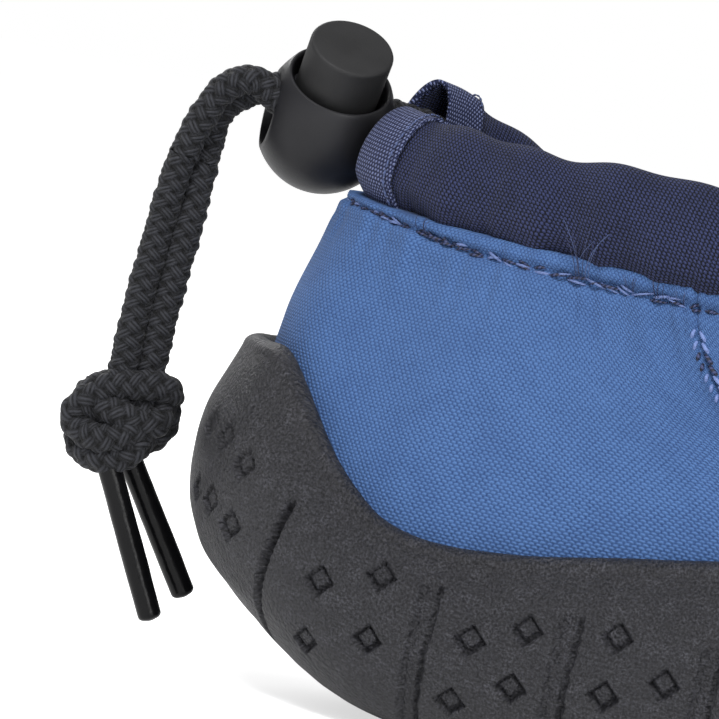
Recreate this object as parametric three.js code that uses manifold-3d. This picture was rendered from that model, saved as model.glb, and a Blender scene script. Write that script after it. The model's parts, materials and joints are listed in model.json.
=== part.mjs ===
// A low-cut neoprene water boot for the right foot, adult size EU 41, with a drawcord and a ball cord lock
// at the heel. Millimetres, +Z up, +X towards the toe, lateral side at -Y. The origin is on the ground
// under the centre of the heel.
import * as THREE from "three";
import { mergeVertices } from "three/addons/utils/BufferGeometryUtils.js";
import Module from "manifold-3d";

const wasm = await Module();
wasm.setup();

const vec = (x, y, z) => new THREE.Vector3(x, y, z);
const lerp = THREE.MathUtils.lerp;
const smoothstep = THREE.MathUtils.smoothstep;
const radians = THREE.MathUtils.degToRad;
const UP = vec(0, 0, 1);

// ---------------------------------------------------------------- driving dimensions
const CLEARANCE = 0.3;
const WALL = 3.2; // rubber wall of the outsole
const FLOOR = 11; // height of the outsole's inner floor
const SOLE_GAP = 0.95; // between the rubber wall and the upper, measured in plan
const NEOPRENE = 2.6; // thickness of the upper
const BOARD = 1.4;
const FOOTBED = 3.4;
const TOP_CLOTH = 0.8;
const RING_STEPS = 4; // samples between two outline points
const SEAM_STATION = 3.35; // where the quarter panel meets the vamp panel
const LAST_STATION = 8; // outline point at the toe tip

// Widest outline of the outsole in plan: lateral and medial points share a station number, heel to toe.
const LATERAL = [
  [-35, 0], [-25, -22.5], [0, -33.5], [42, -35], [92, -38.5], [140, -48], [182, -47], [220, -29], [237, 9],
];
const MEDIAL = [
  [-35, 0], [-25, 22], [0, 32], [42, 30], [92, 29.5], [143, 40], [188, 46], [222, 38], [237, 9],
];
const SPINE_START = 0;
const SPINE_END = 196;

// Seam line between upper and collar, heel to instep; the medial side sags a little lower.
const COLLAR_LATERAL = [
  [-20.8, 0, 67.8], [-14, -14, 67.5], [4, -22.5, 66.5], [28, -26, 66.3], [52, -26.5, 66.5],
  [72, -23.5, 69], [87, -17, 73], [96, -9, 77], [99, 0, 78.5],
];
const COLLAR_MEDIAL = [
  [-20.8, 0, 67.8], [-14, 14, 66.5], [4, 22.5, 63.5], [28, 26, 62], [52, 26.5, 62.5],
  [72, 23.5, 66], [87, 17, 71.5], [96, 9, 76.5], [99, 0, 78.5],
];
// Inward slope of the upper at the collar.
const COLLAR_LEAN = [0.3, 0.28, 0.2, 0.15, 0.25, 0.6, 1.1, 1.6, 1.8];
const SOLE_LEAN = 0.15; // inward slope of the upper where it leaves the rubber
const SOLE_REACH = 14; // longest straight start of the upper above the rubber

// Wall profiles of the outsole from its underside to the lip: inset from the outline, height. Each holds
// at its station, and they fade into each other in between.
const WALL_PROFILES = [
  [0.9, [[14, 0], [9, 2.2], [5.5, 4.2], [2.7, 6.5], [0.5, 14], [0.6, 30], [4, 46.8]]],
  [2.25, [[9, 0], [4.5, 2], [1.5, 6], [0, 11], [0, 15.5], [1, 20.5], [3, 25]]],
  [3.5, [[9, 0], [4.5, 2], [1.5, 7], [0, 13], [0, 20], [1, 27], [3, 33]]],
  [5.6, [[9, 0], [4.5, 2], [1.5, 7], [0, 13], [0, 18], [1, 23], [3, 28]]],
  [7.8, [[16, 0], [9, 2], [4, 6], [1, 11], [0, 18], [1.5, 27], [7, 36]]],
];
// The underside curves up behind the heel and in front of the ball of the foot.
const HEEL_ROCKER = { start: 20, curve: 0.006 };
const HEEL_PAD = 30; // how much further back the middle of the underside stays flat
const TOE_ROCKER = { start: 150, curve: 0.0013 };

// Tread on the wall: grooves with a group of square pockets after each. Places are the distance along the
// wall from the middle of the heel and the height above the ground.
const GROOVE_WIDTH = 3.3;
const GROOVE_DEPTH = 1;
const GROOVE_LENGTH = 17;
const GROOVE_HEIGHT = 12.5;
const GROOVE_FIRST = 61.5;
const GROOVE_SPACING = 20;
const GROOVE_COUNT = 10;
const HEEL_SLIT = { distance: 36, height: 19, width: 1.2 };
const POCKET_SIDE = 3.1;
const POCKET_DEPTH = 1.1;
const GROUP_POCKETS = [[7, 15.5], [14.4, 18.2], [6, 7], [14, 10.5]]; // distance from the group's groove
const HEEL_POCKETS = [
  [6.2, 15.3], [17, 25.6], [22.6, 24.7], [28.2, 22.2], [16.7, 34.6], [22.4, 33.8], [28.3, 30.9],
  [44.2, 9.7], [54.2, 12], [45.3, 18.2], [54.2, 20.9],
];

// Collar channel and drawcord.
const TUBE_HEIGHT = 15;
const TUBE_THICKNESS = 7.4;
const TUBE_SIDES = 12;
const TUBE_WALL = 0.9;
const TUBE_START = { lateral: 0.62, medial: 0.8 }; // stations where the channel opens at the heel
const RIBBON_SPAN = 0.25; // of a station, the bound end of the channel
const CORD_RADIUS = 2;
const CORD_GAP = 0.4;

// Cord lock, in its own frame: strands along X, plunger along Z.
const BALL_RADIUS = 9.5;
const BALL_BOTTOM = 9.8;
const LIP_HEIGHT = 7.6;
const LIP_RADIUS = 7.7; // outer radius of the barrel at its lip
const PLUNGER_RADIUS = 5.85;
const BORE_RADIUS = 6.15;
const MOUTH_RADIUS = 6.9;
const CAVITY_BOTTOM = -8.7;
const PLUNGER_TRAVEL = 3.5;
const PLUNGER_TOP = 13.6;
const PLUNGER_BOTTOM = -2.6;
const STRAND_HEIGHT = 3; // height of the strands above the centre of the ball
const STRAND_RADIUS = 1.85; // strands are squeezed where they pass through the lock
const WINDOW_BOTTOM = -5.2; // lower end of the barrel's tall openings for the strands
const LOCK_CENTRE = vec(-27.3, 2, 78.5);
const LOCK_YAW = radians(24); // the outlet points backwards and to the lateral side
const LOCK_PITCH = radians(2); // and a little upwards
const LOCK_TILT = radians(37); // the plunger leans to the lateral side
const SPRING_RADIUS = 3.6;
const SPRING_WIRE = 0.35;
const SPRING_TURNS = 4;

const MATERIALS = {
  rubber: new THREE.MeshStandardMaterial({ color: 0x2b2c2e, roughness: 0.75 }),
  neoprene: new THREE.MeshStandardMaterial({ color: 0x4c76bd, roughness: 0.9 }),
  lining: new THREE.MeshStandardMaterial({ color: 0x1d1f26, roughness: 0.95 }),
  knit: new THREE.MeshStandardMaterial({ color: 0x262c44, roughness: 0.95 }),
  ribbon: new THREE.MeshStandardMaterial({ color: 0x323a56, roughness: 0.85 }),
  foam: new THREE.MeshStandardMaterial({ color: 0x35373b, roughness: 0.95 }),
  board: new THREE.MeshStandardMaterial({ color: 0xb9b4a6, roughness: 0.95 }),
  cord: new THREE.MeshStandardMaterial({ color: 0x17181a, roughness: 0.9 }),
  tip: new THREE.MeshStandardMaterial({ color: 0x121214, roughness: 0.35 }),
  plastic: new THREE.MeshStandardMaterial({ color: 0x232425, roughness: 0.55 }),
  steel: new THREE.MeshStandardMaterial({ color: 0xa8acb0, roughness: 0.3, metalness: 1 }),
  thread: new THREE.MeshStandardMaterial({ color: 0x3a4262, roughness: 0.8 }),
};

// ---------------------------------------------------------------- curves of the shoe
// Catmull-Rom value at station t of a row of number lists. Past both ends the curve goes on into the
// rows of the other side, or stops at its last row when there are none.
function spline(rows, t, others) {
  const last = rows.length - 1;
  const i = Math.min(Math.floor(t), last - 1);
  const f = t - i;
  const row = (k) => {
    if (k >= 0 && k <= last) return rows[k];
    if (others) return others[k < 0 ? -k : 2 * last - k];
    return rows[k < 0 ? 0 : last];
  };
  const [a, b, c, d] = [row(i - 1), row(i), row(i + 1), row(i + 2)];
  return b.map((_, k) => 0.5 * (2 * b[k] + f * (c[k] - a[k] + f * (2 * a[k] - 5 * b[k] + 4 * c[k] - d[k]
    + f * (3 * b[k] - a[k] - 3 * c[k] + d[k])))));
}

const side = (lateral) => (lateral ? [LATERAL, MEDIAL] : [MEDIAL, LATERAL]);

function outline(station, lateral) {
  const [own, other] = side(lateral);
  return vec(...spline(own, station, other), 0);
}

function spine(station) {
  const middle = outline(station, true).add(outline(station, false)).multiplyScalar(0.5);
  middle.x = THREE.MathUtils.clamp(middle.x, SPINE_START, SPINE_END);
  return middle;
}

const inward = (station, lateral) => spine(station).sub(outline(station, lateral)).setZ(0).normalize();

// Inset and height of the outsole's wall at share t of its profile, before the underside's curve.
function profile(station, t) {
  const at = (rows) => spline(rows, t * (rows.length - 1));
  const passed = WALL_PROFILES.filter(([place]) => place <= station).length;
  const next = THREE.MathUtils.clamp(passed, 1, WALL_PROFILES.length - 1);
  const [from, before] = WALL_PROFILES[next - 1];
  const [to, after] = WALL_PROFILES[next];
  const share = smoothstep(station, from, to);
  return at(before).map((value, k) => lerp(value, at(after)[k], share));
}

function rocker(x) {
  const behind = Math.max(0, HEEL_ROCKER.start - x);
  const ahead = Math.max(0, x - TOE_ROCKER.start);
  return HEEL_ROCKER.curve * behind ** 2 + TOE_ROCKER.curve * ahead ** 2;
}

// Outer face of the outsole's wall, or a face the given distance inside it.
function solePoint(station, lateral, t, inside = 0) {
  const [inset, height] = profile(station, t);
  const point = outline(station, lateral).addScaledVector(inward(station, lateral), inset);
  const lift = rocker(point.x) * (1 - height / profile(station, 1)[1]);
  return point.addScaledVector(inward(station, lateral), inside).setZ(height + lift);
}

function shareAtHeight(station, lateral, height) {
  let [low, high] = [0, 1];
  for (let i = 0; i < 20; i++) {
    const middle = (low + high) / 2;
    if (solePoint(station, lateral, middle).z < height) low = middle;
    else high = middle;
  }
  return low;
}

function collarPoint(station, lateral) {
  const rows = lateral ? [COLLAR_LATERAL, COLLAR_MEDIAL] : [COLLAR_MEDIAL, COLLAR_LATERAL];
  return vec(...spline(rows[0], station, rows[1]));
}

function collarDirection(station, lateral) {
  const foot = solePoint(station, lateral, 1);
  const lean = spline(COLLAR_LEAN.map((value) => [value]), station)[0];
  return collarPoint(station, lateral).sub(foot).setZ(0).normalize().multiplyScalar(lean).add(UP).normalize();
}

// Outer face of the upper: v is -1 at the board, 0 at the rubber's lip and 1 at the collar seam.
function upperPoint(station, lateral, v) {
  const gap = WALL + SOLE_GAP;
  if (v < 0) {
    const bottom = shareAtHeight(station, lateral, FLOOR);
    return solePoint(station, lateral, lerp(1, bottom, -v), gap);
  }
  const start = solePoint(station, lateral, 1, gap);
  const end = collarPoint(station, lateral);
  const reach = 0.4 * start.distanceTo(end);
  const rise = inward(station, lateral).multiplyScalar(SOLE_LEAN).add(UP).normalize();
  return new THREE.CubicBezierCurve3(
    start,
    start.clone().addScaledVector(rise, Math.min(reach, SOLE_REACH)),
    end.clone().addScaledVector(collarDirection(station, lateral), -reach),
    end,
  ).getPoint(v);
}

// ---------------------------------------------------------------- solids
function solidFrom(points, faces) {
  const geometry = new THREE.BufferGeometry().setFromPoints(points);
  let volume = 0;
  for (const [a, b, c] of faces) volume += points[a].dot(points[b].clone().cross(points[c]));
  geometry.setIndex(faces.flatMap(([a, b, c]) => (volume < 0 ? [a, c, b] : [a, b, c])));
  return geometry;
}

function manifoldOf(geometry) {
  const bare = new THREE.BufferGeometry().setAttribute("position", geometry.getAttribute("position"));
  bare.setIndex(geometry.index);
  const merged = mergeVertices(bare, 1e-3);
  return new wasm.Manifold(new wasm.Mesh({
    numProp: 3,
    vertProperties: merged.attributes.position.array,
    triVerts: new Uint32Array(merged.index.array),
  }));
}

function geometryOf(manifold) {
  const mesh = manifold.getMesh();
  return new THREE.BufferGeometry()
    .setAttribute("position", new THREE.BufferAttribute(new Float32Array(mesh.vertProperties), 3))
    .setIndex(new THREE.BufferAttribute(new Uint32Array(mesh.triVerts), 1));
}

function cut(geometry, cutters) {
  const whole = manifoldOf(geometry);
  return geometryOf(cutters.reduce((body, cutter) => body.subtract(manifoldOf(cutter)), whole));
}

// Quads between rows of points; rows wrap round when wrap is true.
function quads(rowCount, columnCount, wrap, offset = 0) {
  const faces = [];
  for (let i = 0; i + 1 < rowCount; i++) {
    for (let j = 0; j < (wrap ? columnCount : columnCount - 1); j++) {
      const a = offset + i * columnCount + j;
      const b = offset + i * columnCount + ((j + 1) % columnCount);
      faces.push([a, b, b + columnCount], [a, b + columnCount, a + columnCount]);
    }
  }
  return faces;
}

// A closed body from rings that run round the shoe, with its ends closed by strips from side to side.
function ringSolid(rings) {
  const count = rings[0].length;
  const faces = quads(rings.length, count, true);
  const cap = (first, reverse) => {
    const triangle = (a, b, c) => {
      const order = reverse ? [a, c, b] : [a, b, c];
      faces.push(order.map((k) => first + (k % count)));
    };
    for (let k = 0; 2 * k < count; k++) {
      if (k > 0) triangle(k, count - k - 1, count - k);
      if (2 * k + 2 < count) triangle(k, k + 1, count - k - 1);
    }
  };
  cap(0, true);
  cap((rings.length - 1) * count, false);
  return solidFrom(rings.flat(), faces);
}

// A sheet with thickness from two grids of points (columns of equal length), closed at its edges.
function sheetSolid(outer, inner, wrap) {
  const [columns, rows] = [outer.length, outer[0].length];
  const points = [...outer.flat(), ...inner.flat()];
  const half = columns * rows;
  const at = (i, j, inside) => (inside ? half : 0) + (i % columns) * rows + j;
  const faces = [];
  const quad = (a, b, c, d) => faces.push([a, b, c], [a, c, d]);
  const spans = wrap ? columns : columns - 1;
  for (let i = 0; i < spans; i++) {
    for (let j = 0; j + 1 < rows; j++) {
      quad(at(i, j), at(i + 1, j), at(i + 1, j + 1), at(i, j + 1));
      quad(at(i, j, true), at(i, j + 1, true), at(i + 1, j + 1, true), at(i + 1, j, true));
    }
    quad(at(i, 0, true), at(i + 1, 0, true), at(i + 1, 0), at(i, 0));
    quad(at(i, rows - 1), at(i + 1, rows - 1), at(i + 1, rows - 1, true), at(i, rows - 1, true));
  }
  if (!wrap) {
    for (let j = 0; j + 1 < rows; j++) {
      quad(at(0, j, true), at(0, j), at(0, j + 1), at(0, j + 1, true));
      const end = columns - 1;
      quad(at(end, j), at(end, j, true), at(end, j + 1, true), at(end, j + 1));
    }
  }
  return solidFrom(points, faces);
}

// Points moved against the grid's own outward normal, which depth measures from.
function offsetGrid(grid, depth) {
  const inRange = (k, count) => THREE.MathUtils.clamp(k, 0, count - 1);
  const get = (i, j) => grid[inRange(i, grid.length)][inRange(j, grid[0].length)];
  return grid.map((column, i) => column.map((point, j) => {
    const along = get(i + 1, j).clone().sub(get(i - 1, j));
    const upward = get(i, j + 1).clone().sub(get(i, j - 1));
    return point.clone().addScaledVector(along.cross(upward).normalize(), -depth);
  }));
}

// Stations along one side, and the three ways round the shoe.
function along(lateral, from, to, steps) {
  const count = Math.ceil(Math.abs(to - from) * steps);
  return Array.from({ length: count + 1 }, (_, i) => [lerp(from, to, i / count), lateral]);
}

function roundToe(from, steps) {
  return [...along(true, from, LAST_STATION, steps), ...along(false, LAST_STATION, from, steps).slice(1)];
}

function roundHeel(to, steps) {
  return [...along(false, to, 0, steps), ...along(true, 0, to, steps).slice(1)];
}

const closedLoop = (steps) => roundToe(0, steps).slice(0, -1);

function roundChannel(steps, shorter = 0) {
  const { lateral, medial } = TUBE_START;
  return [
    ...along(true, lateral + shorter, LAST_STATION, steps),
    ...along(false, LAST_STATION, medial + shorter, steps).slice(1),
  ];
}

// ---------------------------------------------------------------- sole unit
function wallFrame(station, lateral, height) {
  const t = shareAtHeight(station, lateral, height);
  const centre = solePoint(station, lateral, t);
  const step = 0.02;
  const along = solePoint(Math.min(station + step, LAST_STATION), lateral, t)
    .sub(solePoint(Math.max(station - step, 0), lateral, t)).normalize();
  const climb = solePoint(station, lateral, Math.min(t + step, 1)).sub(solePoint(station, lateral, t - step));
  const outward = along.clone().cross(climb).multiplyScalar(lateral ? 1 : -1).normalize();
  return new THREE.Matrix4().makeBasis(along, outward.clone().cross(along), outward).setPosition(centre);
}

// Station at a distance along the wall from the middle of the heel.
function stationAt(distance, lateral) {
  const step = 0.01;
  let station = 0;
  let walked = 0;
  while (walked < distance) {
    walked += solePoint(station, lateral, 0.5).distanceTo(solePoint(station + step, lateral, 0.5));
    station += step;
  }
  return station;
}

function treadCutters() {
  const cutters = [];
  for (const lateral of [true, false]) {
    const place = (geometry, distance, height) => {
      cutters.push(geometry.applyMatrix4(wallFrame(stationAt(distance, lateral), lateral, height)));
    };
    const groove = (width) => new THREE.BoxGeometry(width, GROOVE_LENGTH, 2 * GROOVE_DEPTH);
    const pocket = () => (
      new THREE.BoxGeometry(POCKET_SIDE, POCKET_SIDE, 2 * POCKET_DEPTH).rotateZ(Math.PI / 4)
    );
    place(groove(HEEL_SLIT.width), HEEL_SLIT.distance, HEEL_SLIT.height);
    for (const [distance, height] of HEEL_POCKETS) place(pocket(), distance, height);
    for (let group = 0; group < GROOVE_COUNT; group++) {
      const start = GROOVE_FIRST + group * GROOVE_SPACING;
      place(groove(GROOVE_WIDTH), start, GROOVE_HEIGHT);
      for (const [distance, height] of GROUP_POCKETS) place(pocket(), start + distance, height);
    }
  }
  return cutters;
}

function outsole() {
  const loop = closedLoop(RING_STEPS);
  const shares = [0, 0.12, 0.3, 0.5, 0.68, 0.86, 1];
  const outer = shares.map((t) => loop.map(([s, l]) => solePoint(s, l, t)));
  const inner = [1, 0.66, 0.33, 0].map((level) => loop.map(([s, l]) => {
    const point = solePoint(s, l, lerp(shareAtHeight(s, l, FLOOR), 1, level), WALL);
    return level === 0 ? point.setZ(FLOOR) : point;
  }));
  const underside = loop.map(([s, l]) => {
    const point = solePoint(s, l, 0).lerp(spine(s), 0.5);
    return point.setZ(rocker(point.x < SPINE_END / 2 ? point.x + HEEL_PAD : point.x));
  });
  return cut(ringSolid([underside, ...outer, ...inner]), treadCutters());
}

// A flat or slightly dished layer inside the shoe, between two heights above the ground.
function innerLayer(bottom, top, gap) {
  const loop = closedLoop(3);
  const ringAt = (height) => loop.map(([s, l]) => (
    solePoint(s, l, shareAtHeight(s, l, height), gap).setZ(height)
  ));
  return ringSolid([ringAt(bottom), ringAt(top)]);
}

// ---------------------------------------------------------------- upper
const PANEL_LEVELS = [-0.9, -0.66, -0.33, 0, 0.2, 0.4, 0.6, 0.8, 1];

function panel(stations) {
  const face = stations.map(([s, l]) => PANEL_LEVELS.map((v) => upperPoint(s, l, v)));
  return sheetSolid(face, offsetGrid(face, NEOPRENE), false);
}

// ---------------------------------------------------------------- collar and drawcord
function tubeCentre(station, lateral) {
  return collarPoint(station, lateral)
    .addScaledVector(collarDirection(station, lateral), TUBE_HEIGHT / 2 + CLEARANCE)
    .addScaledVector(inward(station, lateral), 1.5);
}

function tubeRing(station, lateral, height, thickness) {
  const centre = tubeCentre(station, lateral);
  const upward = collarDirection(station, lateral);
  const outward = inward(station, lateral).negate();
  outward.addScaledVector(upward, -outward.dot(upward)).normalize();
  return Array.from({ length: TUBE_SIDES }, (_, k) => {
    const angle = (2 * Math.PI * k) / TUBE_SIDES;
    return centre.clone()
      .addScaledVector(upward, (height / 2) * Math.sin(angle))
      .addScaledVector(outward, (thickness / 2) * Math.cos(angle));
  });
}

function tube(stations, height, thickness) {
  const outer = stations.map(([s, l]) => tubeRing(s, l, height, thickness));
  const inner = stations.map(([s, l]) => tubeRing(s, l, height - 2 * TUBE_WALL, thickness - 2 * TUBE_WALL));
  const around = (rings) => rings[0].map((_, k) => rings.map((ring) => ring[k]));
  return sheetSolid(around(outer), around(inner), true);
}

function sweep(points, radius, sides, steps) {
  const circle = new THREE.Shape(Array.from({ length: sides }, (_, k) => {
    const angle = (2 * Math.PI * k) / sides;
    return new THREE.Vector2(radius * Math.cos(angle), radius * Math.sin(angle));
  }));
  const path = new THREE.CatmullRomCurve3(points);
  return new THREE.ExtrudeGeometry(circle, { steps, extrudePath: path });
}

// ---------------------------------------------------------------- cord lock
const toLock = (group) => {
  group.position.copy(LOCK_CENTRE);
  group.rotation.set(LOCK_TILT, LOCK_PITCH, LOCK_YAW, "ZYX");
  group.updateMatrixWorld(true);
  return group;
};
const lockFrame = toLock(new THREE.Group());
const fromLock = (x, y, z) => vec(x, y, z).applyMatrix4(lockFrame.matrixWorld);

const turned = (profilePoints, segments) => new THREE.LatheGeometry(
  profilePoints.map(([r, z]) => new THREE.Vector2(r, z)), segments,
).rotateX(Math.PI / 2);

function slot(width, bottom, top) {
  return new THREE.BoxGeometry(3 * BALL_RADIUS, width, top - bottom).translate(0, 0, (bottom + top) / 2);
}

function barrel() {
  const rows = [[0, -BALL_BOTTOM]];
  const steps = 6;
  for (let i = 1; i <= steps; i++) {
    const angle = (Math.PI / 2) * (i / steps - 1);
    rows.push([BALL_RADIUS * Math.cos(angle), BALL_BOTTOM * Math.sin(angle)]);
  }
  for (const share of [0.4, 0.7, 1]) {
    rows.push([lerp(BALL_RADIUS, LIP_RADIUS, share ** 1.8), LIP_HEIGHT * share]);
  }
  rows.push([MOUTH_RADIUS, LIP_HEIGHT], [BORE_RADIUS, LIP_HEIGHT - 2.4]);
  rows.push([BORE_RADIUS, CAVITY_BOTTOM + 2], [BORE_RADIUS - 2, CAVITY_BOTTOM], [0, CAVITY_BOTTOM]);
  const halfWidth = 2 * STRAND_RADIUS + CORD_GAP + 0.4;
  const windows = slot(2 * halfWidth, WINDOW_BOTTOM, STRAND_HEIGHT + STRAND_RADIUS + CLEARANCE);
  return cut(turned(rows, 28), [windows]);
}

function plunger() {
  const rows = [
    [0, PLUNGER_BOTTOM], [PLUNGER_RADIUS, PLUNGER_BOTTOM], [PLUNGER_RADIUS, PLUNGER_TOP - 0.5],
    [PLUNGER_RADIUS - 0.5, PLUNGER_TOP], [0, PLUNGER_TOP],
  ];
  const halfWidth = 2 * STRAND_RADIUS + CORD_GAP / 2 + 0.3;
  const bottom = STRAND_HEIGHT - STRAND_RADIUS - CLEARANCE;
  const top = STRAND_HEIGHT + STRAND_RADIUS + CLEARANCE + PLUNGER_TRAVEL;
  return cut(turned(rows, 28), [slot(2 * halfWidth, bottom, top)]);
}

function spring() {
  const low = CAVITY_BOTTOM + SPRING_WIRE + CLEARANCE;
  const high = PLUNGER_BOTTOM - SPRING_WIRE - CLEARANCE;
  const points = 10 * SPRING_TURNS;
  const coils = Array.from({ length: points + 1 }, (_, i) => {
    const angle = (2 * Math.PI * i) / 10;
    return vec(SPRING_RADIUS * Math.cos(angle), SPRING_RADIUS * Math.sin(angle), lerp(low, high, i / points));
  });
  return sweep(coils, SPRING_WIRE, 5, 12 * SPRING_TURNS);
}

// ---------------------------------------------------------------- drawcord, from the collar to the tips
const STRAND_OFFSET = STRAND_RADIUS + CORD_GAP / 2;
const strandSide = (lateral) => (lateral ? -1 : 1);
const FEED_END = 2; // where the collar's cord stops inside the lock, in the lock's frame
const RUN_START = FEED_END - CORD_GAP;
const OUTLET = -BALL_RADIUS - 1.2;

// Centre line of the hanging tail in the lock's vertical plane: distance from the lock's centre, height,
// and the turn of the pair of strands about it, from side by side to fore and aft.
const TAIL = [
  [12.5, 81.2, 0], [15.3, 78.6, 0], [17, 73.4, 15], [17.8, 67, 60],
  [18.3, 59, 90], [18.9, 51.5, 90], [19.2, 45, 90], [19.2, 39.8, 90],
];
const TAIL_RADIUS = 2.05;
const ARC_END = 4; // the tail point where the arc meets the hanging part
const KNOT_DROP = [19.9, 31.8];
const KNOT_SIZE = vec(7.9, 7, 6.9);
const TIP_RADIUS = 1.65;

function inTailPlane(distance, height, aside = 0) {
  const origin = fromLock(0, 0, STRAND_HEIGHT);
  return vec(-distance, aside, 0).applyAxisAngle(UP, LOCK_YAW).add(origin).setZ(height);
}

function tailPoint([distance, height, turn], lateral) {
  const offset = (TAIL_RADIUS + CORD_GAP / 2) * strandSide(lateral);
  return inTailPlane(distance - offset * Math.sin(radians(turn)), height, offset * Math.cos(radians(turn)));
}

// A straight piece of strand inside the lock, between two places along the lock's X.
function strandInLock(lateral, from, to) {
  const y = STRAND_OFFSET * strandSide(lateral);
  return sweep([fromLock(from, y, STRAND_HEIGHT), fromLock(to, y, STRAND_HEIGHT)], STRAND_RADIUS, 10, 2);
}

function strandArc(lateral) {
  return sweep(TAIL.slice(0, ARC_END + 1).map((row) => tailPoint(row, lateral)), TAIL_RADIUS, 8, 10);
}

function strandHang(lateral) {
  const rows = TAIL.slice(ARC_END).map((row) => tailPoint(row, lateral));
  rows[0].lerp(rows[1], 0.16);
  return sweep(rows, TAIL_RADIUS, 8, 8);
}

function drawcordLoop() {
  const stations = roundChannel(2);
  const inside = stations.map(([s, l]) => tubeCentre(s, l).addScaledVector(collarDirection(s, l), 1.5));
  const end = (lateral, away) => (
    fromLock(BALL_RADIUS + away, STRAND_OFFSET * strandSide(lateral), STRAND_HEIGHT)
  );
  const points = [end(true, 1), end(true, 1.8), ...inside, end(false, 1.8), end(false, 1)];
  return sweep(points, CORD_RADIUS - 0.3, 6, 72);
}

function tip(top, end) {
  const length = top.distanceTo(end);
  const rows = [[0, 0], [TIP_RADIUS, 0], [TIP_RADIUS, length - 0.6], [TIP_RADIUS - 0.6, length], [0, length]];
  const turn = new THREE.Quaternion().setFromUnitVectors(UP, end.clone().sub(top).normalize());
  return turned(rows, 12).applyQuaternion(turn).translate(top.x, top.y, top.z);
}

// ---------------------------------------------------------------- seams
// One continuous row of thread laid on the upper.
function thread(points) {
  return sweep(points, 0.35, 4, points.length);
}

const THREAD_LIFT = 1.1;

function above(station, lateral, v) {
  const step = 0.03;
  const point = upperPoint(station, lateral, v);
  const forward = upperPoint(Math.min(station + step, LAST_STATION), lateral, v)
    .sub(upperPoint(Math.max(station - step, 0), lateral, v));
  const climb = upperPoint(station, lateral, v + step).sub(upperPoint(station, lateral, v - step));
  return point.addScaledVector(forward.cross(climb).normalize(), lateral ? THREAD_LIFT : -THREAD_LIFT);
}

const collarThread = () => thread(roundChannel(4).map(([s, l]) => above(s, l, 0.95)));
const SEAM_LEVELS = [0.06, 0.2, 0.4, 0.6, 0.8, 0.92];
const seamThread = (lateral) => thread(SEAM_LEVELS.map((v) => above(SEAM_STATION, lateral, v)));

// ---------------------------------------------------------------- assembly
const boot = new THREE.Group();

function add(name, geometry, material, group = boot) {
  const mesh = new THREE.Mesh(geometry, MATERIALS[material]);
  mesh.name = name;
  group.add(mesh);
}

const layerInset = WALL + SOLE_GAP + NEOPRENE + 2.4;
const boardBottom = FLOOR + CLEARANCE;
const footbedBottom = boardBottom + BOARD + CLEARANCE;
const clothBottom = footbedBottom + FOOTBED + CLEARANCE;
add("outsole", outsole(), "rubber");
add("insole_board", innerLayer(boardBottom, boardBottom + BOARD, layerInset), "board");
add("footbed", innerLayer(footbedBottom, footbedBottom + FOOTBED, layerInset), "foam");
add("footbed_cloth", innerLayer(clothBottom, clothBottom + TOP_CLOTH, layerInset), "lining");

const seamGap = 0.01; // in stations, about 0.2 mm either side
add("quarter_panel", panel(roundHeel(SEAM_STATION - seamGap, RING_STEPS)), "neoprene");
add("vamp_panel", panel(roundToe(SEAM_STATION + seamGap, RING_STEPS)), "neoprene");

add("collar_channel", tube(roundChannel(3, RIBBON_SPAN), TUBE_HEIGHT, TUBE_THICKNESS), "knit");
for (const lateral of [true, false]) {
  const name = lateral ? "lateral" : "medial";
  const start = TUBE_START[name];
  const ends = [start, start + RIBBON_SPAN / 2, start + RIBBON_SPAN - 0.02].map((s) => [s, lateral]);
  add("ribbon_end_" + name, tube(ends, TUBE_HEIGHT + 0.6, TUBE_THICKNESS + 0.6), "ribbon");
  add("side_seam_thread_" + name, seamThread(lateral), "thread");
}
add("collar_seam_thread", collarThread(), "thread");
add("drawcord_loop", drawcordLoop(), "cord");

const lock = toLock(new THREE.Group());
boot.add(lock);
add("cord_lock_barrel", barrel(), "plastic", lock);
add("cord_lock_plunger", plunger(), "plastic", lock);
add("cord_lock_spring", spring(), "steel", lock);

for (const lateral of [true, false]) {
  const name = lateral ? "lateral" : "medial";
  add("cord_feed_" + name, strandInLock(lateral, BALL_RADIUS - 0.5, FEED_END), "cord");
  add("cord_run_" + name, strandInLock(lateral, RUN_START, OUTLET), "cord");
  add("cord_arc_" + name, strandArc(lateral), "cord");
  add("cord_hang_" + name, strandHang(lateral), "cord");
}
const knotCentre = inTailPlane(...KNOT_DROP);
const knot = new THREE.IcosahedronGeometry(1, 2).scale(KNOT_SIZE.x, KNOT_SIZE.y, KNOT_SIZE.z);
add("cord_knot", knot.rotateZ(LOCK_YAW).translate(knotCentre.x, knotCentre.y, knotCentre.z), "cord");
add("cord_tip_long", tip(inTailPlane(20, 24.2, -1.5), inTailPlane(11.2, 5, -2.5)), "tip");
add("cord_tip_short", tip(inTailPlane(16.4, 25, 2), inTailPlane(6.4, 8.8, 2)), "tip");

export default boot;
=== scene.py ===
import json
import math

import bmesh
import bpy
import numpy as np
from mathutils import Matrix, Vector


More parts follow.
